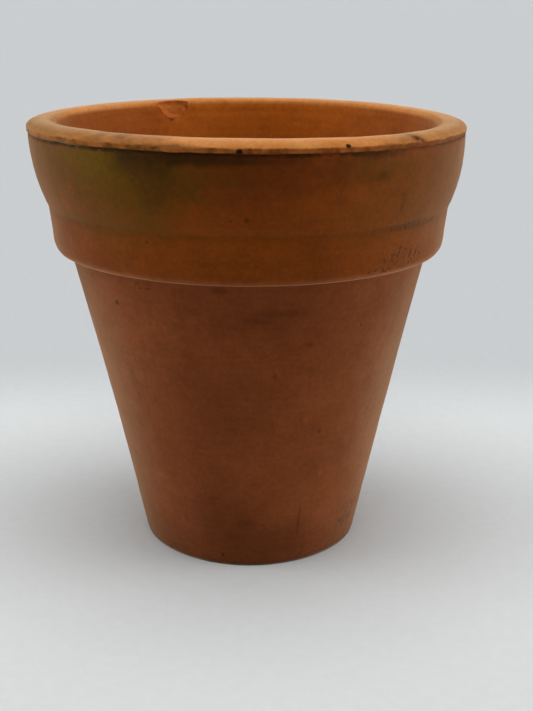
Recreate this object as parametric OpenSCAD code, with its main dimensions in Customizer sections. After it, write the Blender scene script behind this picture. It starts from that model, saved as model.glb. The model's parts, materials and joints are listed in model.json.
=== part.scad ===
// Small terracotta plant pot with a deep two-band collar and an overhanging lip.
// One piece of fired clay, open at the top, with one round drain hole in its floor.
// Millimetres, +Z up, origin on the pot's axis at the underside of the base.

/* [Overall] */
// Height from the base to the crown of the rim
pot_h = 90.8; // [86:0.2:104]
// Largest diameter, across the lip
rim_d = 89.8; // [88:0.2:94]
// Diameter of the base
base_d = 46.4; // [44:0.2:56]

/* [Body] */
// Diameter of the body where it meets the collar
body_top_d = 75; // [74:0.5:77]
// How far the middle of the side is hollowed towards the axis
body_hollow = 0.3; // [0:0.05:0.6]
// Rounding of the outer edge of the base
base_edge = 0.4; // [0.2:0.1:1.6]

/* [Collar] */
// Height from the flat underside of the collar to the crown of the rim
collar_h = 26.4; // [24:0.2:32]
// Diameter of the lower band at its foot
band_d = 81.7; // [80:0.1:83]
// How much each side of the lower band leans out up to the step
band_lean = 0.6; // [0:0.1:1]
// Height of the rounded lower corner of the collar
corner_h = 3.8; // [2:0.1:6]
// Height of the step line, where the upper band starts, above the underside
step_h = 9.2; // [8:0.1:12]
// How far the top of the upper band is set in from the lip
neck_inset = 0.25; // [0.1:0.05:1.2]
// How full the curve of the upper band is, from a straight cone to a square shoulder
neck_fullness = 0.93; // [0.6:0.01:1]

/* [Lip] */
// Height from the lower edge of the lip to the crown of the rim
lip_h = 2.05; // [1.8:0.05:3.5]
// Height of the upright outer face of the lip
lip_face = 0.75; // [0.3:0.05:1.2]
// How far the groove under the lip cuts in behind the upper band
groove = 0.4; // [0:0.05:0.6]
// Width of the rim, from its outer face to the mouth
rim_w = 5.8; // [5.6:0.1:7]

/* [Inside] */
// Thickness of the floor
floor_t = 6.5; // [5:0.5:10]
// Diameter that the tapering inside wall would reach at the floor
floor_d = 38.6; // [34:0.2:40]
// Rounding between the inside wall and the floor
floor_round = 5; // [2:0.5:7]

/* [Drain hole] */
// Diameter of the drain hole
hole_d = 12; // [8:0.5:16]

/* [Hidden] */

terracotta = [0.62, 0.33, 0.17];
$fn = 180;
steps = 10;
overrun = 1;

collar_z = pot_h - collar_h;
step_z = collar_z + step_h;
lip_z = pot_h - lip_h;
lip_r = rim_d / 2;
neck_r = lip_r - neck_inset;
mouth_r = lip_r - rim_w;
// The crown is outside the mouth, whose edge is rounded down to it by mouth_drop
crown_r = mouth_r + 2.7;
mouth_drop = 0.9;
// Rounding between the lip's upright face and its sloping top
lip_edge = 0.35;
// Height of the groove between the upper band and the lip
groove_h = 0.8;
// Width of the flat ring under the collar, which a pot ring or a rack bears on
seat_w = 1.4;

// Points along a curve that leaves a towards the control point c and arrives at b from it.
// The list leaves a out, so that curves can follow each other.
function bend(a, c, b, n = steps) =
    [for (i = [1:n]) let (t = i / n) (1 - t) * (1 - t) * a + 2 * t * (1 - t) * c + t * t * b];

// The base, the body's side and the collar's rounded underside, from the axis outwards and up.
function lower_outline() =
    let (
        base = [base_d / 2 - base_edge, 0],
        foot = [base_d / 2 + 0.2 * base_edge, base_edge],
        top = [body_top_d / 2, collar_z],
        seat = top + [seat_w, 0],
        band_foot = [band_d / 2, collar_z + corner_h]
    )
    concat(
        [[0, 0], base],
        bend(base, [base_d / 2, 0], foot, 5),
        bend(foot, (foot + top) / 2 - [2 * body_hollow, 0], top),
        [seat],
        bend(seat, [band_d / 2, collar_z], band_foot)
    );

// The upper band, the groove and the lip, up to the crown of the rim.
function upper_outline() =
    let (
        step = [band_d / 2 + band_lean, step_z],
        neck = [neck_r, lip_z - groove_h],
        shoulder = [
            step[0] + neck_fullness * (neck_r - step[0]),
            step_z + 0.45 * (neck[1] - step_z)
        ],
        face_top = [lip_r, lip_z + lip_face],
        edge = face_top + [-lip_edge / 2, lip_edge],
        crown = [crown_r, pot_h]
    )
    concat(
        [step],
        bend(step, shoulder, neck),
        [[neck_r - groove, lip_z - groove_h / 3], [lip_r, lip_z], face_top],
        bend(face_top, face_top + [0, lip_edge / 2], edge, 3),
        bend(edge, [(edge[0] + crown_r) / 2 + 0.8, pot_h], crown)
    );

// The rim's inner edge, the tapering inside wall and the floor, back to the axis.
function inner_outline() =
    let (
        crown = [crown_r, pot_h],
        mouth = [mouth_r, pot_h - mouth_drop],
        toe = [floor_d / 2, floor_t],
        wall_foot = toe + floor_round * (mouth - toe) / norm(mouth - toe)
    )
    concat(
        bend(crown, [mouth_r, pot_h], mouth, 5),
        [wall_foot],
        bend(wall_foot, toe, toe - [floor_round, 0]),
        [[0, floor_t]]
    );

// The whole wall as one turned section, with its drain hole drilled through the floor.
module pot() {
    color(terracotta)
    difference() {
        rotate_extrude()
        polygon(concat(lower_outline(), upper_outline(), inner_outline()));
        translate([0, 0, -overrun])
        cylinder(h = floor_t + 2 * overrun, d = hole_d);
    }
}

pot();
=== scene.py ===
"""Looks for the small terracotta plant pot: a worn, algae-stained pot on a pale studio floor.

The pot's wall is turned from the CAD model's own cross section, then given the unevenness, chips,
holes and ragged lip of a used clay pot. Lengths are in metres unless a name or MM says otherwise.
Angles round the pot are in degrees: 0 faces the camera (-Y), and they grow towards +X.
"""

import itertools
import json
import math

import bmesh
import bpy
import numpy as np
from mathutils import Matrix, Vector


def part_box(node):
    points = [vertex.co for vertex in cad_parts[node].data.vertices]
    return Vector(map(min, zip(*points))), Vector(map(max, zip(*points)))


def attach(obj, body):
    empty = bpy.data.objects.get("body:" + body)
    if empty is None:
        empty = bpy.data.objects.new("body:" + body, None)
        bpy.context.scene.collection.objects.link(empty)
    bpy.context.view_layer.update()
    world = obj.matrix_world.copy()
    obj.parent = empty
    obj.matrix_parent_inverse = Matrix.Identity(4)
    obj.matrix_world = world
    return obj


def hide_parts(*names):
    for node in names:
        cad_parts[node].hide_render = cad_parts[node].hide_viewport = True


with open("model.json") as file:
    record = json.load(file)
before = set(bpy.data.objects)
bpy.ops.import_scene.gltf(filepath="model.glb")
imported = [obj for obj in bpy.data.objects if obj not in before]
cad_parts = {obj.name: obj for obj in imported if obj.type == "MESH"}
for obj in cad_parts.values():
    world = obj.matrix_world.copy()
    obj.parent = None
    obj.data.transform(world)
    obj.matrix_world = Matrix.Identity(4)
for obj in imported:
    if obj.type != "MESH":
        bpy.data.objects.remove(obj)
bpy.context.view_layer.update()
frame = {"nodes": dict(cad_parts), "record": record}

MM = 0.001
LOW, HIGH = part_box("pot")
POT_H = HIGH.z - LOW.z
RIM_R = (HIGH.x - LOW.x) / 2
MOUNTS = {mount["name"]: mount for mount in frame["record"]["mounts"]}
COLLAR_Z = MOUNTS["collar_seat"]["pos_m"][2]
HOLE_R = MOUNTS["drain_hole"]["dims"]["r_mm"] * MM
# The step between the collar's two bands is this far above its foot, and the lip this deep
STEP_Z = COLLAR_Z + 9.2 * MM
LIP_Z = POT_H - 2.05 * MM


# ---------------------------------------------------------------- the pot's cross section

def cad_section(node):
    """The CAD node cut by the half plane Y = 0, X > 0: an ordered ring of (radius, height)."""
    touching = 0.001 * MM
    cut_mesh = bmesh.new()
    cut_mesh.from_mesh(frame["nodes"][node].data)
    bmesh.ops.remove_doubles(cut_mesh, verts=cut_mesh.verts, dist=touching)
    everything = cut_mesh.verts[:] + cut_mesh.edges[:] + cut_mesh.faces[:]
    cut = bmesh.ops.bisect_plane(
        cut_mesh, geom=everything, dist=touching, plane_co=(0, 0, 0), plane_no=(0, 1, 0)
    )["geom_cut"]
    neighbours = {}
    for edge in cut:
        if isinstance(edge, bmesh.types.BMEdge) and min(v.co.x for v in edge.verts) > 0:
            a, b = edge.verts
            neighbours.setdefault(a, []).append(b)
            neighbours.setdefault(b, []).append(a)
    # the ring starts at the drain hole's edge under the base, and goes out along the base
    start = min(neighbours, key=lambda v: (round(v.co.z / MM, 3), v.co.x))
    ring = [start, max(neighbours[start], key=lambda v: v.co.x)]
    while True:
        onward = [v for v in neighbours[ring[-1]] if v is not ring[-2]]
        if onward[0] is start:
            break
        ring.append(onward[0])
    points = np.array([(v.co.x, v.co.z) for v in ring])
    cut_mesh.free()
    return points


def along(ring, spacing):
    """The closed ring's points, evenly spaced, starting at its first point."""
    closed = np.vstack([ring, ring[:1]])
    travel = np.concatenate([[0], np.cumsum(np.linalg.norm(np.diff(closed, axis=0), axis=1))])
    stops = np.linspace(0, travel[-1], int(travel[-1] / spacing), endpoint=False)
    return np.stack([np.interp(stops, travel, closed[:, axis]) for axis in (0, 1)], axis=1)


def soften(ring, spacing, reach):
    """The closed ring with its corners rounded over about the given reach."""
    half = int(3 * reach / spacing)
    steps = np.arange(-half, half + 1)
    weights = np.exp(-0.5 * (steps * spacing / reach) ** 2)
    weights /= weights.sum()
    return sum(w * np.roll(ring, -s, axis=0) for w, s in zip(weights, steps))


def row_spacing(radius, height):
    """How far apart the mesh's rows are: close at the lip, wide where the wall is plain."""
    at_rim = height > LIP_Z - 1.4 * MM
    at_lip = at_rim & (radius > RIM_R - 1.6 * MM)
    near_base = height < 3 * MM
    on_wall = (radius > 2 * HOLE_R) & ~near_base
    on_collar = height > COLLAR_Z - 2 * MM
    spacing = np.full(len(radius), 1.7 * MM)
    for where, distance in (
        (on_wall, 1.5), (on_collar, 0.75), (near_base, 0.9), (at_rim, 0.34), (at_lip, 0.16)
    ):
        spacing[where] = distance * MM
    return spacing


def section_rows():
    """Rows of the mesh: (radius, height, outward normal's radius part, and height part)."""
    fine = 0.04 * MM
    rounding = 0.14 * MM
    ring = soften(along(cad_section("pot"), fine), fine, rounding)
    tangent = np.roll(ring, -1, axis=0) - np.roll(ring, 1, axis=0)
    tangent /= np.linalg.norm(tangent, axis=1)[:, None]
    count = np.cumsum(fine / row_spacing(ring[:, 0], ring[:, 1]))
    total = int(count[-1])
    picks = np.searchsorted(count, np.arange(total) * count[-1] / total)
    return np.column_stack([ring[picks], tangent[picks, 1], -tangent[picks, 0]])


# ---------------------------------------------------------------- noise

TABLE_SIZE = 4096
# Large primes, which spread neighbouring cells over the table
SPREAD = (73856093, 19349663, 83492791)


def smooth_noise(points, size, seed):
    """Noise from -1 to 1 that changes smoothly over about the given size."""
    table = np.random.default_rng(seed).uniform(-1, 1, TABLE_SIZE)
    scaled = points / size
    cell = np.floor(scaled).astype(np.int64)
    part = scaled - cell
    part = part * part * (3 - 2 * part)
    total = np.zeros(len(points))
    for corner in itertools.product((0, 1), repeat=3):
        at = cell + corner
        key = (at[:, 0] * SPREAD[0]) ^ (at[:, 1] * SPREAD[1]) ^ (at[:, 2] * SPREAD[2])
        weight = np.prod(np.where(corner, part, 1 - part), axis=1)
        total += weight * table[key % TABLE_SIZE]
    return total


def rough_noise(points, size, seed, layers=3):
    """Several layers of smooth_noise, each half the size and half the strength of the last."""
    return sum(
        smooth_noise(points, size / 2 ** layer, seed + layer) / 2 ** layer
        for layer in range(layers)
    )


def ramp(value, start, end):
    """0 before start, 1 after end, smooth between."""
    t = np.clip((value - start) / (end - start), 0, 1)
    return t * t * (3 - 2 * t)


# ---------------------------------------------------------------- shape of the worn pot

# (angle, height mm, distance from the axis mm, size mm): clay broken out as a shallow scoop. The
# scoop is a ball of that radius with its centre there, which is mostly just outside the clay.
CHIPS = [
    (33.6, 89.3, 45.6, 0.7),
    (44.4, 90.5, 44.6, 0.7),
    (46.0, 90.0, 45.2, 0.75),
    (47.4, 89.3, 45.6, 0.75),
    (48.8, 88.8, 45.6, 0.65),
    (-50.6, 89.7, 45.7, 0.8),
    (-43.9, 89.3, 45.6, 0.65),
    (-36.0, 88.6, 45.6, 0.6),
    (-84.0, 89.0, 45.6, 0.95),
    (-20.0, 88.4, 45.4, 0.6),
    (12.0, 88.3, 45.5, 0.5),
    (68.0, 89.3, 45.5, 0.75),
    (118.0, 89.2, 46.0, 1.3),
    (196.0, 90.2, 45.8, 1.5),
    (243.0, 89.0, 45.7, 0.9),
    (-152.0, 91.3, 33.1, 7.0),
    (-155.0, 91.8, 34.4, 5.3),
    (-149.4, 91.8, 34.4, 5.3),
]
# The same for holes that have filled with soil
HOLES = [
    (-0.9, 88.8, 45.2, 0.75),
    (-2.4, 88.4, 45.2, 0.55),
    (23.8, 89.8, 44.9, 0.42),
    (130.0, 52.0, 35.2, 0.8),
    (165.0, 79.0, 43.6, 0.9),
    (210.0, 24.0, 29.0, 0.8),
]


def place(angle, radius, height):
    """A point at an angle round the pot, with radius and height in metres."""
    turn = math.radians(angle)
    return np.array([radius * math.sin(turn), -radius * math.cos(turn), height])


def warp(points):
    """The rim is a little out of round, off centre and not quite level, as on any turned pot.

    It is tilted, bent and shifted by tenths of a millimetre, and its radius varies by under 1%.
    """
    turn = np.arctan2(points[:, 1], points[:, 0])
    height = points[:, 2]
    up = ramp(height, STEP_Z, POT_H)
    middle = ramp(height, COLLAR_Z - 6 * MM, COLLAR_Z)
    level = middle * (-0.06 * np.cos(turn) - 0.13 * np.sin(turn))
    level += up * (-0.13 * np.cos(turn) - 0.29 * np.sin(turn))
    level += up * (-0.14 * np.cos(2 * turn) + 0.10 * np.sin(2 * turn))
    out = points.copy()
    out[:, :2] *= (1 + up * (0.008 * np.sin(2 * turn) - 0.004 * np.cos(2 * turn)))[:, None]
    out[:, 0] -= (0.33 * ramp(height, 30 * MM, 66 * MM) + 0.26 * up) * MM
    out[:, 2] = np.maximum(height + level * MM, LOW.z)
    return out


def relief(points, normals):
    """How far each point stands out from the turned surface, in metres."""
    height = points[:, 2]
    dents = 0.10 * smooth_noise(points, 22 * MM, seed=1)
    dents += 0.04 * smooth_noise(points, 7 * MM, seed=2)
    grit = 0.014 * rough_noise(points, 1.6 * MM, seed=3)
    rings = np.sin(height / (0.36 * MM) + 2.2 * smooth_noise(points, 9 * MM, seed=9))
    ring_depth = np.where(is_inside(points, normals), 0.03, 0.008)
    return (dents + grit + ring_depth * rings + burr(points)) * MM


def burr(points):
    """How far the lip's untrimmed lower edge stands out from the turned surface, in millimetres.

    It hangs ragged over a groove smeared partly full, and is longest on the left. On the right it
    hardly stands out, and the lip and the wall run together.
    """
    height = points[:, 2]
    outer = np.hypot(points[:, 0], points[:, 1]) > RIM_R - 1.2 * MM
    turn = np.degrees(np.arctan2(points[:, 0], -points[:, 1]))
    left = np.exp(-((turn + 58) / 18) ** 2)
    right = ramp(turn, 5, 35) * ramp(turn, 150, 110)
    on_edge = outer * np.exp(-((height - LIP_Z - 0.1 * MM) / (0.4 * MM)) ** 2)
    in_groove = outer * np.exp(-((height - LIP_Z + 0.35 * MM) / (0.3 * MM)) ** 2)
    around = np.column_stack([points[:, 0], points[:, 1], 0 * height])
    ragged = rough_noise(around, 2.6 * MM, seed=21)
    smeared = ramp(smooth_noise(around, 9 * MM, seed=27), -0.4, 0.5)
    overhang = 0.16 * ragged + 0.2 * left - 0.1 - 0.22 * right
    return on_edge * overhang + in_groove * np.maximum(0.34 * right, 0.16 * smeared)


def is_inside(points, normals):
    """True on the inside wall, the floor and the drain hole, which face the axis or up."""
    inward = points[:, 0] * normals[:, 0] + points[:, 1] * normals[:, 1] < 0
    return inward | ((normals[:, 2] > 0.9) & (points[:, 2] < POT_H / 2))


def scoop(points, centre, size, seed):
    """Pushes points within about size of the centre out to it. Returns 1 where it cut deep."""
    away = points - centre
    distance = np.linalg.norm(away, axis=1)
    margin = 0.5 * MM
    near = distance < size + margin
    reach = np.full(len(points), size)
    roughness = min(0.16 * size, 0.22 * MM)
    reach[near] += roughness * rough_noise(points[near], 1.1 * MM, seed)
    cut = np.where(near, np.clip(reach - distance, 0, None), 0)
    points += away / np.maximum(distance, 1e-9)[:, None] * cut[:, None]
    full_depth = 0.12 * MM
    return np.clip(cut / full_depth, 0, 1)


def scoop_all(points, scoops, first_seed):
    """Scoops out a whole list such as CHIPS, and returns one mask of all its scoops."""
    mask = np.zeros(len(points))
    for number, (angle, height, radius, size) in enumerate(scoops):
        centre = place(angle, radius * MM, height * MM)
        mask = np.maximum(mask, scoop(points, centre, size * MM, first_seed + number))
    return mask


# ---------------------------------------------------------------- the mesh

COLUMNS = 288
LIP_COLUMNS = 3 * COLUMNS


def grid_points():
    """Every point of the turned pot with its normal, and how many points each row has."""
    rows = section_rows()
    at_lip = rows[:, 1] > LIP_Z - 1.1 * MM
    counts = np.where(at_lip, LIP_COLUMNS, COLUMNS)
    row = np.repeat(np.arange(len(rows)), counts)
    turn = np.concatenate([np.arange(n) / n for n in counts]) * 2 * math.pi
    across = np.column_stack([np.sin(turn), -np.cos(turn)])
    radius, height, normal_r, normal_z = rows[row].T
    points = np.column_stack([across * radius[:, None], height])
    normals = np.column_stack([across * normal_r[:, None], normal_z])
    return points, normals, counts


def band_faces(first_a, count_a, first_b, count_b):
    """Faces between two neighbouring rows, one of which may have three times as many points."""
    steps = min(count_a, count_b)
    step_a, step_b = count_a // steps, count_b // steps
    faces = []
    for k in range(steps):
        lower = [first_a + (k * step_a + j) % count_a for j in range(step_a + 1)]
        upper = [first_b + (k * step_b + j) % count_b for j in range(step_b + 1)]
        faces.append(lower + upper[::-1])
    return faces


def make_pot():
    """The worn pot as one closed mesh, with the marks that its material reads."""
    points, normals, counts = grid_points()
    points += normals * relief(points, normals)[:, None]
    # what the material reads at each point: the scoops move points, so they come last
    marks = {
        "height": points[:, 2].copy(),
        "inside": is_inside(points, normals).astype(float),
        "chipped": scoop_all(points, CHIPS, first_seed=40),
        "pitted": scoop_all(points, HOLES, first_seed=70),
    }
    first = np.concatenate([[0], np.cumsum(counts)])
    faces = []
    for a in range(len(counts)):
        b = (a + 1) % len(counts)
        faces += band_faces(first[a], counts[a], first[b], counts[b])
    mesh = bpy.data.meshes.new("terracotta_pot")
    mesh.from_pydata(warp(points).tolist(), [], faces)
    for name, values in marks.items():
        mesh.attributes.new(name, "FLOAT", "POINT").data.foreach_set("value", values)
    mesh.shade_smooth()
    mesh.validate()
    mesh.materials.append(pot_material())
    pot = bpy.data.objects.new("terracotta_pot", mesh)
    bpy.context.scene.collection.objects.link(pot)
    return pot


# ---------------------------------------------------------------- materials

def srgb(red, green, blue):
    """A colour given as 0 to 255 screen values, as a shader's linear colour."""
    def linear(value):
        value /= 255
        return value / 12.92 if value <= 0.04045 else ((value + 0.055) / 1.055) ** 2.4
    return (linear(red), linear(green), linear(blue), 1)


class Shader:
    """Short ways to add and link the nodes of one material."""

    def __init__(self, name):
        self.material = bpy.data.materials.new(name)
        self.material.use_nodes = True
        self.nodes = self.material.node_tree.nodes
        self.links = self.material.node_tree.links
        self.surface = self.nodes["Principled BSDF"]

    def feed(self, socket, value):
        if isinstance(value, bpy.types.NodeSocket):
            self.links.new(value, socket)
        elif value is not None:
            socket.default_value = value

    def math(self, operation, a, b=None):
        node = self.nodes.new("ShaderNodeMath")
        node.operation = operation
        for socket, value in zip(node.inputs, (a, b)):
            self.feed(socket, value)
        return node.outputs[0]

    def ramp(self, value, start, end, low=0.0, high=1.0):
        """low before start, high after end, smooth between."""
        node = self.nodes.new("ShaderNodeMapRange")
        node.interpolation_type = "SMOOTHSTEP"
        for socket, item in zip(node.inputs, (value, start, end, low, high)):
            self.feed(socket, item)
        return node.outputs[0]

    def noise(self, where, size, detail, roughness=0.55):
        """Noise from 0 to 1 whose largest features are about size metres across."""
        node = self.nodes.new("ShaderNodeTexNoise")
        self.links.new(where, node.inputs["Vector"])
        node.inputs["Scale"].default_value = 1 / size
        node.inputs["Detail"].default_value = detail
        node.inputs["Roughness"].default_value = roughness
        return node.outputs["Fac"]

    def spots(self, where, size, radius, share):
        """1 in small round spots, one to a cell, in about that share of the cells.

        The size is a cell's, in metres, and the radius is a spot's, in cells.
        """
        node = self.nodes.new("ShaderNodeTexVoronoi")
        self.feed(node.inputs["Vector"], where)
        node.inputs["Scale"].default_value = 1 / size
        split = self.nodes.new("ShaderNodeSeparateColor")
        self.links.new(node.outputs["Color"], split.inputs[0])
        kept = self.math("LESS_THAN", split.outputs[0], share)
        spot = self.ramp(node.outputs["Distance"], radius, radius * 0.5)
        return self.math("MULTIPLY", spot, kept)

    def mix(self, factor, a, b, mode="MIX"):
        """Colour a where the factor is 0 and b where it is 1, or a blended with b by mode."""
        node = self.nodes.new("ShaderNodeMix")
        node.data_type = "RGBA"
        node.blend_type = mode
        self.feed(node.inputs["Factor"], factor)
        # sockets 6 and 7 and output 2 are the ones for colours
        self.feed(node.inputs[6], a)
        self.feed(node.inputs[7], b)
        return node.outputs[2]

    def attribute(self, name):
        node = self.nodes.new("ShaderNodeAttribute")
        node.attribute_name = name
        return node.outputs["Fac"]


# Clay, each kind as its darker and its paler clouds
WALL_CLAY = srgb(108, 53, 21), srgb(125, 64, 29)
COLLAR_CLAY = srgb(106, 47, 5), srgb(126, 60, 11)
INSIDE_CLAY = srgb(172, 88, 20), srgb(184, 97, 27)
# The lip's worn top, where it is paler and where it is darker
WORN_CLAY = srgb(196, 126, 64), srgb(182, 110, 50)
# Clay bared by a chip, outside and inside
BARED_CLAY = srgb(132, 70, 28), srgb(172, 92, 34)
# Marks in the clay, painted shade that darkens the inside wall towards the pot's two sides, and a
# painted highlight along the collar's foot
DARK_MOTTLE = srgb(84, 38, 8)
PALE_WISP = srgb(160, 88, 42)
WORN_WISP = srgb(206, 142, 84)
INSIDE_SIDE_SHADE = srgb(104, 48, 12)
FOOT_HIGHLIGHT = srgb(158, 80, 26)
BURR_EDGE = srgb(150, 84, 30)
# Colours that growth and dirt give the clay; the soil colour also paints a shadow, and the dust
# colour also paints sheen
OLIVE = srgb(84, 54, 0)
GREEN = srgb(98, 78, 0)
DAMP = srgb(36, 18, 0)
SOIL_AND_SHADOW = srgb(70, 28, 4)
DUST_AND_SHEEN = srgb(150, 108, 74)
RUST = srgb(172, 92, 42)
BASE_SOIL = srgb(86, 36, 8)
BASE_EDGE = srgb(56, 22, 4)
GROOVE_GRIME = srgb(48, 22, 2)
STEP_GRIME_AND_SHADE = srgb(84, 44, 6)
CHIP_EDGE = srgb(96, 44, 12)
HOLE_SOIL = srgb(50, 18, 6)
PIT_SOIL = srgb(48, 20, 2)

# (colour, angle, height mm, half angle, half height mm, strength): soft patches on the outside
WALL_PATCHES = [
    (SOIL_AND_SHADOW, 0, 86.5, 38, 8, 0.6),
    (SOIL_AND_SHADOW, 25, 86, 13, 5, 0.45),
    # painted shadow: the collar's shadow on the wall just below it, across the front
    (SOIL_AND_SHADOW, 0, 62, 60, 12, 0.35),
    (SOIL_AND_SHADOW, 10.5, 58.4, 9, 1.2, 0.5),
    (SOIL_AND_SHADOW, 4, 57, 6, 0.8, 0.4),
    (SOIL_AND_SHADOW, -8, 63, 4, 1, 0.5),
    (SOIL_AND_SHADOW, -8, 46, 34, 18, 0.2),
    (SOIL_AND_SHADOW, 20, 51.5, 1.2, 0.8, 0.5),
    (SOIL_AND_SHADOW, 9, 45.2, 1.2, 0.7, 0.5),
    (SOIL_AND_SHADOW, 28, 31.7, 1.2, 0.8, 0.6),
    (SOIL_AND_SHADOW, -12, 12, 24, 8, 0.3),
    (SOIL_AND_SHADOW, -16, 16, 3.5, 2, 0.25),
    (SOIL_AND_SHADOW, -3, 10.7, 4, 1.6, 0.3),
    (SOIL_AND_SHADOW, 10, 6, 34, 6, 0.35),
    (SOIL_AND_SHADOW, 24, 10, 1, 6, 0.45),
    (SOIL_AND_SHADOW, 170, 40, 30, 12, 0.3),
    (SOIL_AND_SHADOW, -120, 30, 20, 14, 0.3),
    (OLIVE, -30, 86, 34, 10, 0.7),
    (OLIVE, -26, 83, 20, 11, 0.6),
    (OLIVE, -34, 76, 20, 9, 0.45),
    (OLIVE, -60, 84, 34, 14, 0.55),
    (OLIVE, 34, 86, 18, 4, 0.35),
    (OLIVE, 60, 80, 34, 14, 0.3),
    (OLIVE, 36, 77, 22, 10, 0.2),
    (OLIVE, -42, 74.4, 30, 1.6, 0.4),
    (OLIVE, 150, 84, 30, 7, 0.6),
    (OLIVE, -140, 70, 25, 6, 0.4),
    (GREEN, -40, 87, 16, 4.5, 0.35),
    (GREEN, -36, 83, 12, 4, 0.15),
    (DAMP, -25, 86.4, 10, 3.4, 0.55),
    (DAMP, -20, 82.5, 9, 6, 0.3),
    (DAMP, -13, 87.6, 22, 1.9, 0.8),
    (DAMP, 5, 87.5, 13, 1.2, 0.35),
    (DAMP, 34, 88, 8, 1.2, 0.5),
    (DAMP, 48, 73.9, 15, 1.0, 0.35),
    (DAMP, 22, 80.3, 3.5, 1.7, 0.22),
    (DAMP, 33, 84, 3, 1.2, 0.32),
    (DAMP, 41, 79, 1.6, 3, 0.25),
    (DAMP, 0, 77.1, 0.8, 0.6, 0.5),
    (DAMP, -26, 72.1, 0.9, 0.6, 0.5),
    (DAMP, -44.5, 57.9, 1, 0.7, 0.9),
    (DAMP, -13.2, 2.6, 0.9, 0.6, 0.8),
    # dust, and painted sheen where the wall turns away at the pot's two sides
    (DUST_AND_SHEEN, 68, 78, 26, 16, 0.12),
    (DUST_AND_SHEEN, 66, 38, 28, 34, 0.3),
    (DUST_AND_SHEEN, -62, 38, 26, 36, 0.25),
    (RUST, -41.4, 19.6, 1.3, 0.9, 0.2),
    (RUST, 31.7, 21.6, 1.3, 0.9, 0.2),
    (RUST, 21.8, 34.8, 1.4, 1, 0.15),
]
# The same on the pale top of the lip
LIP_PATCHES = [
    (OLIVE, -64, 90, 45, 6, 0.6),
    (OLIVE, 72, 90, 45, 6, 0.45),
    (SOIL_AND_SHADOW, -28, 90, 15, 3, 0.38),
    (SOIL_AND_SHADOW, 42, 90, 11, 2, 0.25),
    (DAMP, -36, 90.7, 2.6, 0.9, 0.35),
    (DAMP, -30, 90.7, 2.2, 0.6, 0.35),
    (DAMP, -18, 89.3, 12, 0.8, 0.5),
    (DAMP, 35, 89.3, 4, 0.7, 0.6),
    (DAMP, 44.2, 90.2, 2.2, 0.9, 0.85),
    (DAMP, 46.5, 89.4, 1.6, 0.8, 0.6),
]
# (angle, height mm, half angle, half height mm, strength): scatters of small dark pits
PIT_SCATTERS = [
    (47.5, 67.7, 11, 2.6, 1),
    (50, 73.8, 16, 1.2, 0.5),
    (38, 65.6, 6, 1.2, 0.9),
    (-33, 62.6, 5, 0.9, 0.8),
    (-57, 62.6, 5, 1.4, 0.8),
    (57, 8, 10, 4, 0.8),
    (-42, 1.5, 5, 1.4, 0.8),
    (-152, 84, 22, 4, 0.6),
    (130, 30, 16, 9, 0.8),
]


class PotShader(Shader):
    """The pot's material, with the places and patterns that its colours and bumps are made of."""

    def __init__(self, name):
        super().__init__(name)
        self.where = self.nodes.new("ShaderNodeTexCoord").outputs["Object"]
        split = self.nodes.new("ShaderNodeSeparateXYZ")
        self.links.new(self.where, split.inputs[0])
        x, y, z = split.outputs
        turn = self.math("ARCTAN2", x, self.math("MULTIPLY", y, -1))
        self.angle = self.math("MULTIPLY", turn, 180 / math.pi)
        squares = self.math("ADD", self.math("MULTIPLY", x, x), self.math("MULTIPLY", y, y))
        radius = self.math("SQRT", squares)
        # from 0 at the front and back of the pot to 1 at its two sides
        self.sideways = self.math("ABSOLUTE", self.math("DIVIDE", x, radius))
        # lines of the turning run round the pot: up the wall and out across the rim, noise that
        # reads this place changes several times as fast
        turned = self.nodes.new("ShaderNodeCombineXYZ")
        line_density = 9
        across = self.math("MULTIPLY", self.math("ADD", radius, z), line_density)
        for socket, value in zip(turned.inputs, (x, y, across)):
            self.feed(socket, value)
        self.height = self.attribute("height")
        self.inside = self.attribute("inside")
        self.outside = self.math("SUBTRACT", 1, self.inside)
        self.clouds = self.ramp(self.noise(self.where, 30 * MM, 4), 0.3, 0.7)
        self.mottle = self.noise(self.where, 6 * MM, 5, 0.65)
        self.grain = self.noise(self.where, 0.9 * MM, 4, 0.6)
        self.rag = self.noise(self.where, 3.4 * MM, 5, 0.62)
        self.rag_shift = self.math("SUBTRACT", self.rag, 0.5)
        self.wisps = self.noise(turned.outputs[0], 14 * MM, 4, 0.6)

    def zone(self, level, foot, full, last=None, gone=None):
        """A ragged ring on the outside: 0 below foot, and 1 from full up to last or the top.

        The four are in mm above the given level. Above last it fades out again up to gone.
        """
        ragged = self.math("ADD", self.height, self.math("MULTIPLY", self.rag_shift, 0.9 * MM))
        mask = self.ramp(ragged, level + foot * MM, level + full * MM)
        if last is not None:
            fading = self.ramp(ragged, level + gone * MM, level + last * MM)
            mask = self.math("MULTIPLY", mask, fading)
        return self.math("MULTIPLY", mask, self.outside)

    def patch(self, angle_at, height_at, half_angle, half_height, strength):
        """A ragged oval round that angle and height, fading out from the given strength."""
        off_angle = self.math("SUBTRACT", self.angle, angle_at)
        # a patch across the back, where the angle jumps by 360, is the same on both sides of it
        if abs(angle_at) + half_angle > 180:
            off_angle = self.math("SUBTRACT", self.math("ABSOLUTE", self.angle), abs(angle_at))
        off_angle = self.math("DIVIDE", off_angle, half_angle)
        off_height = self.math("SUBTRACT", self.height, height_at * MM)
        off_height = self.math("DIVIDE", off_height, half_height * MM)
        off_angle = self.math("POWER", off_angle, 2)
        off_height = self.math("POWER", off_height, 2)
        reach = self.math("SQRT", self.math("ADD", off_angle, off_height))
        depth = self.math("SUBTRACT", 1, reach)
        depth = self.math("ADD", depth, self.math("MULTIPLY", self.rag_shift, 1.1))
        return self.ramp(depth, -0.1, 0.8, 0.0, strength)

    def paint_patches(self, colour, patches, within):
        for paint, *spot in patches:
            colour = self.mix(self.math("MULTIPLY", self.patch(*spot), within), colour, paint)
        return colour


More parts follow.
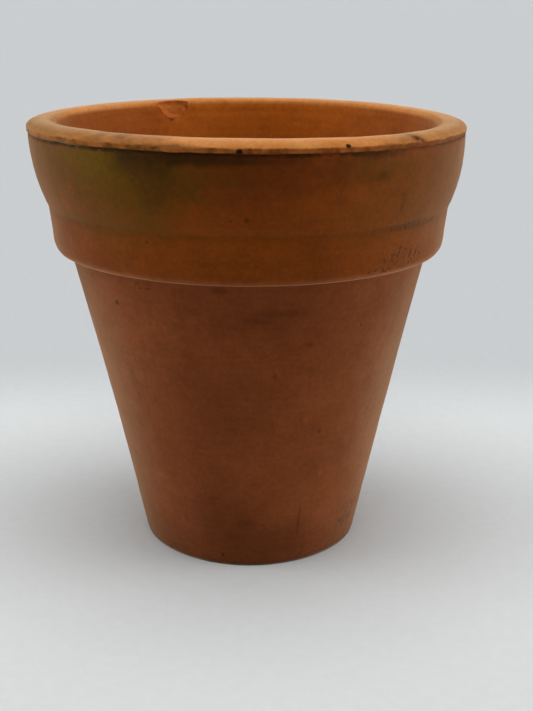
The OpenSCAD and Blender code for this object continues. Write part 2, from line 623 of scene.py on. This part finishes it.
def bare_clay(s):
    """Cloudy, mottled clay, more orange on the collar and brightest inside, with painted shade
    darkening the inside wall towards the pot's two sides.
    """
    on_collar = s.zone(COLLAR_Z, -0.5, 0.5)
    colour = s.mix(on_collar, s.mix(s.clouds, *WALL_CLAY), s.mix(s.clouds, *COLLAR_CLAY))
    inner = s.mix(s.clouds, *INSIDE_CLAY)
    # painted shade: the inside wall is darker towards the pot's two sides
    inner = s.mix(s.ramp(s.sideways, 0.3, 0.95, high=0.6), inner, INSIDE_SIDE_SHADE)
    colour = s.mix(s.inside, colour, inner)
    colour = s.mix(s.ramp(s.mottle, 0.42, 0.7, high=0.24), colour, DARK_MOTTLE)
    return s.mix(s.ramp(s.wisps, 0.5, 0.75, high=0.09), colour, PALE_WISP)


def weather_wall(s, colour):
    """A pale line along the collar's foot is a painted highlight, the base is dark with soil, and
    patches of dirt grow, among them a painted shadow under the collar and dust with painted sheen at
    the sides.
    """
    foot = s.zone(COLLAR_Z, -0.3, 0.2, 0.6, 1.6)
    # painted highlight: a pale line along the collar's rounded foot, which faces the floor
    colour = s.mix(s.math("MULTIPLY", foot, 0.4), colour, FOOT_HIGHLIGHT)
    colour = s.mix(s.ramp(s.height, 14 * MM, 1 * MM, high=0.4), colour, BASE_SOIL)
    colour = s.mix(s.ramp(s.height, 1.6 * MM, 0.3 * MM, high=0.5), colour, BASE_EDGE)
    return s.paint_patches(colour, WALL_PATCHES, s.outside)


def pack_grime(s, colour):
    """Grime is packed under the lip, most of all at the front left. Along the step a dark line is
    partly grime and partly painted shade under the upper band.
    """
    groove = s.zone(LIP_Z, -1.1, -0.5, -0.2, 0.1)
    from_thickest = s.math("ABSOLUTE", s.math("ADD", s.angle, 14))
    packed = s.ramp(from_thickest, 70, 25, low=0.3)
    packed = s.math("MULTIPLY", packed, s.ramp(s.rag, 0.35, 0.6, low=0.2))
    colour = s.mix(s.math("MULTIPLY", groove, packed), colour, GROOVE_GRIME)
    # along the step: grime, and painted shade under the collar's upper band
    step = s.zone(STEP_Z, -1.2, -0.3, 0.2, 0.9)
    packed = s.ramp(s.wisps, 0.3, 0.6, low=0.1, high=0.4)
    return s.mix(s.math("MULTIPLY", step, packed), colour, STEP_GRIME_AND_SHADE)


def wear_lip(s, colour):
    """The lip's top is worn pale by handling, with fine lines of the turning, above a brown burr."""
    edge = s.math("MULTIPLY", s.zone(LIP_Z, -0.2, 0.1), s.ramp(s.rag, 0.35, 0.6))
    edge = s.math("MULTIPLY", edge, s.ramp(s.angle, 45, 15, low=0.4))
    colour = s.mix(edge, colour, BURR_EDGE)
    near_mouth = s.ramp(s.height, POT_H - 1.5 * MM, POT_H - 0.5 * MM, high=0.9)
    top = s.math("MAXIMUM", s.zone(LIP_Z, 0.6, 0.95), s.math("MULTIPLY", s.inside, near_mouth))
    worn = s.mix(s.ramp(s.mottle, 0.35, 0.7), *WORN_CLAY)
    worn = s.mix(s.ramp(s.wisps, 0.4, 0.65, high=0.45), worn, WORN_WISP)
    return s.paint_patches(s.mix(top, colour, worn), LIP_PATCHES, top)


def show_damage(s, colour):
    """Chips show fresher clay with soil round their edges, and holes are full of soil."""
    broken = s.attribute("chipped")
    edge = s.ramp(s.rag, 0.4, 0.55, low=0.2, high=0.9)
    edge = s.math("MULTIPLY", s.ramp(broken, 0.05, 0.3), edge)
    colour = s.mix(edge, colour, CHIP_EDGE)
    colour = s.mix(s.ramp(broken, 0.4, 0.9), colour, s.mix(s.inside, *BARED_CLAY))
    return s.mix(s.attribute("pitted"), colour, HOLE_SOIL)


def small_pits(s):
    """1 in the pits: a few all over, thick in the scatters, and grains of soil near the base."""
    pits = s.spots(s.where, 7 * MM, 0.055, 0.7)
    crowded = s.ramp(s.noise(s.where, 0.8 * MM, 2, 0.6), 0.52, 0.62)
    for scatter in PIT_SCATTERS:
        there = s.math("MULTIPLY", s.ramp(s.patch(*scatter), 0.1, 0.4), s.outside)
        pits = s.math("MAXIMUM", pits, s.math("MULTIPLY", crowded, there))
    near_base = s.ramp(s.height, 7 * MM, 1 * MM)
    soil = s.math("MULTIPLY", s.spots(s.where, 1.7 * MM, 0.16, 0.4), near_base)
    return s.math("MAXIMUM", pits, soil)


def bump_clay(s, pits):
    """Relief too fine for the mesh: grain, mottle and wisps stand up, and pits go in."""
    bump = s.nodes.new("ShaderNodeBump")
    bump.inputs["Distance"].default_value = 0.12 * MM
    bump.inputs["Strength"].default_value = 0.35
    raised = s.math("ADD", s.grain, s.math("MULTIPLY", s.mottle, 1.5))
    raised = s.math("ADD", raised, s.math("MULTIPLY", s.wisps, 0.8))
    raised = s.math("SUBTRACT", raised, s.math("MULTIPLY", pits, 1.2))
    s.feed(bump.inputs["Height"], raised)
    s.feed(s.surface.inputs["Normal"], bump.outputs[0])


def pot_material():
    """Worn terracotta: clay, then weather, grime, wear, damage and pits laid over it in turn."""
    s = PotShader("worn_terracotta")
    colour = bare_clay(s)
    for layer in (weather_wall, pack_grime, wear_lip, show_damage):
        colour = layer(s, colour)
    pits = small_pits(s)
    colour = s.mix(s.math("MULTIPLY", pits, 0.65), colour, PIT_SOIL)
    colour = s.mix(1.0, colour, s.ramp(s.grain, 0.3, 0.7, low=0.9, high=1.07), "MULTIPLY")
    s.feed(s.surface.inputs["Base Color"], colour)
    s.feed(s.surface.inputs["Roughness"], s.ramp(s.mottle, 0.3, 0.7, low=0.55, high=0.68))
    # a dusty, porous surface: hardly any gloss, and a soft warm bloom where it turns away
    s.surface.inputs["Specular IOR Level"].default_value = 0.03
    s.surface.inputs["Sheen Weight"].default_value = 0.32
    s.surface.inputs["Sheen Roughness"].default_value = 0.4
    s.surface.inputs["Sheen Tint"].default_value = (1, 0.8, 0.5, 1)
    bump_clay(s, pits)
    return s.material


# The floor in front of the pot, and far behind it, where painted shade darkens it as if light fell
# off
FLOOR_NEAR = (0.64, 0.66, 0.66, 1)
FLOOR_FAR_SHADED = (0.52, 0.535, 0.545, 1)


def floor_material():
    """Plain pale card, with hardly any grain; painted shade makes it a little darker behind the pot.
    """
    s = Shader("pale_floor")
    where = s.nodes.new("ShaderNodeTexCoord").outputs["Object"]
    split = s.nodes.new("ShaderNodeSeparateXYZ")
    s.links.new(where, split.inputs[0])
    far = s.ramp(split.outputs[1], 0.6 * POT_H, 1.3 * POT_H)
    # painted shade: the floor darkens with distance behind the pot
    colour = s.mix(far, FLOOR_NEAR, FLOOR_FAR_SHADED)
    fibres = s.noise(where, 2.5 * MM, 4, 0.6)
    colour = s.mix(1.0, colour, s.ramp(fibres, 0.3, 0.7, low=0.985, high=1.015), "MULTIPLY")
    s.feed(s.surface.inputs["Base Color"], colour)
    s.surface.inputs["Roughness"].default_value = 0.9
    s.surface.inputs["Specular IOR Level"].default_value = 0.1
    return s.material


# ---------------------------------------------------------------- stage, light and camera

# The floor reaches this many pot heights each way, so that its edge is never near
FLOOR_REACH = 400


def make_floor():
    """A plain floor at the height that the pot stands on."""
    half = FLOOR_REACH * POT_H
    mesh = bpy.data.meshes.new("floor")
    corners = [(-half, -half, LOW.z), (half, -half, LOW.z), (half, half, LOW.z), (-half, half, LOW.z)]
    mesh.from_pydata(corners, [], [(0, 1, 2, 3)])
    mesh.materials.append(floor_material())
    floor = bpy.data.objects.new("floor", mesh)
    bpy.context.scene.collection.objects.link(floor)


# Very large soft lights: name, strength, width in degrees, angle round the pot, height in degrees
SOFT_LIGHTS = [
    ("overhead", 1.9, 50, 0, 82),
    ("left_side", 2.4, 50, -86, 8),
    ("right_side", 2.7, 50, 86, 8),
]
# Strength of the pale room: as light from in front of the pot and from behind it, and as it looks
ROOM_FRONT = 0.05
ROOM_BACK = 0.55
ROOM_SEEN = 0.72
# The light changes from one to the other between these, where -1 is straight in front, 1 behind
ROOM_TURNS = (-0.3, 0.6)
ROOM_COLOUR = (0.97, 0.99, 1, 1)


def make_room():
    """The plain world round the pot, which lights it softly from behind."""
    world = bpy.data.worlds.new("studio")
    world.use_nodes = True
    nodes, links = world.node_tree.nodes, world.node_tree.links
    split = nodes.new("ShaderNodeSeparateXYZ")
    links.new(nodes.new("ShaderNodeTexCoord").outputs["Generated"], split.inputs[0])
    fade = nodes.new("ShaderNodeMapRange")
    fade.interpolation_type = "SMOOTHSTEP"
    for socket, value in zip(fade.inputs[1:], (*ROOM_TURNS, ROOM_FRONT, ROOM_BACK)):
        socket.default_value = value
    links.new(split.outputs["Y"], fade.inputs["Value"])
    seen = nodes.new("ShaderNodeMix")
    links.new(nodes.new("ShaderNodeLightPath").outputs["Is Camera Ray"], seen.inputs["Factor"])
    links.new(fade.outputs[0], seen.inputs["A"])
    seen.inputs["B"].default_value = ROOM_SEEN
    links.new(seen.outputs[0], nodes["Background"].inputs["Strength"])
    nodes["Background"].inputs["Color"].default_value = ROOM_COLOUR
    bpy.context.scene.world = world


def make_lights():
    """Soft light from above and from both sides."""
    for name, strength, width, angle, height in SOFT_LIGHTS:
        data = bpy.data.lights.new(name, "SUN")
        data.energy = strength
        data.angle = math.radians(width)
        light = bpy.data.objects.new(name, data)
        light.rotation_euler = (math.radians(90 - height), 0, math.radians(angle))
        bpy.context.scene.collection.objects.link(light)


# The camera's place, in pot heights from the pot's axis and its base
CAMERA_BACK = 2.6662
CAMERA_UP = 1.2856
CAMERA_RIGHT = 0.0388
# Its tilt down and its roll in degrees, and its lens in millimetres
CAMERA_PITCH = 17.80
CAMERA_ROLL = 0.29
CAMERA_LENS = 58.73


def make_camera():
    """The camera looks at the pot from the front and a little from above."""
    data = bpy.data.cameras.new("camera")
    data.sensor_width = 36
    data.lens = CAMERA_LENS
    data.clip_start = 0.01
    camera = bpy.data.objects.new("camera", data)
    stand = Matrix.Translation((CAMERA_RIGHT * POT_H, -CAMERA_BACK * POT_H, CAMERA_UP * POT_H))
    tilt = Matrix.Rotation(math.radians(90 - CAMERA_PITCH), 4, "X")
    roll = Matrix.Rotation(math.radians(CAMERA_ROLL), 4, "Z")
    camera.matrix_world = stand @ tilt @ roll
    bpy.context.scene.collection.objects.link(camera)
    bpy.context.scene.camera = camera


pot = make_pot()
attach(pot, "root")
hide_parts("pot")
make_floor()
make_room()
make_lights()
make_camera()
bpy.context.scene.view_settings.view_transform = "Standard"
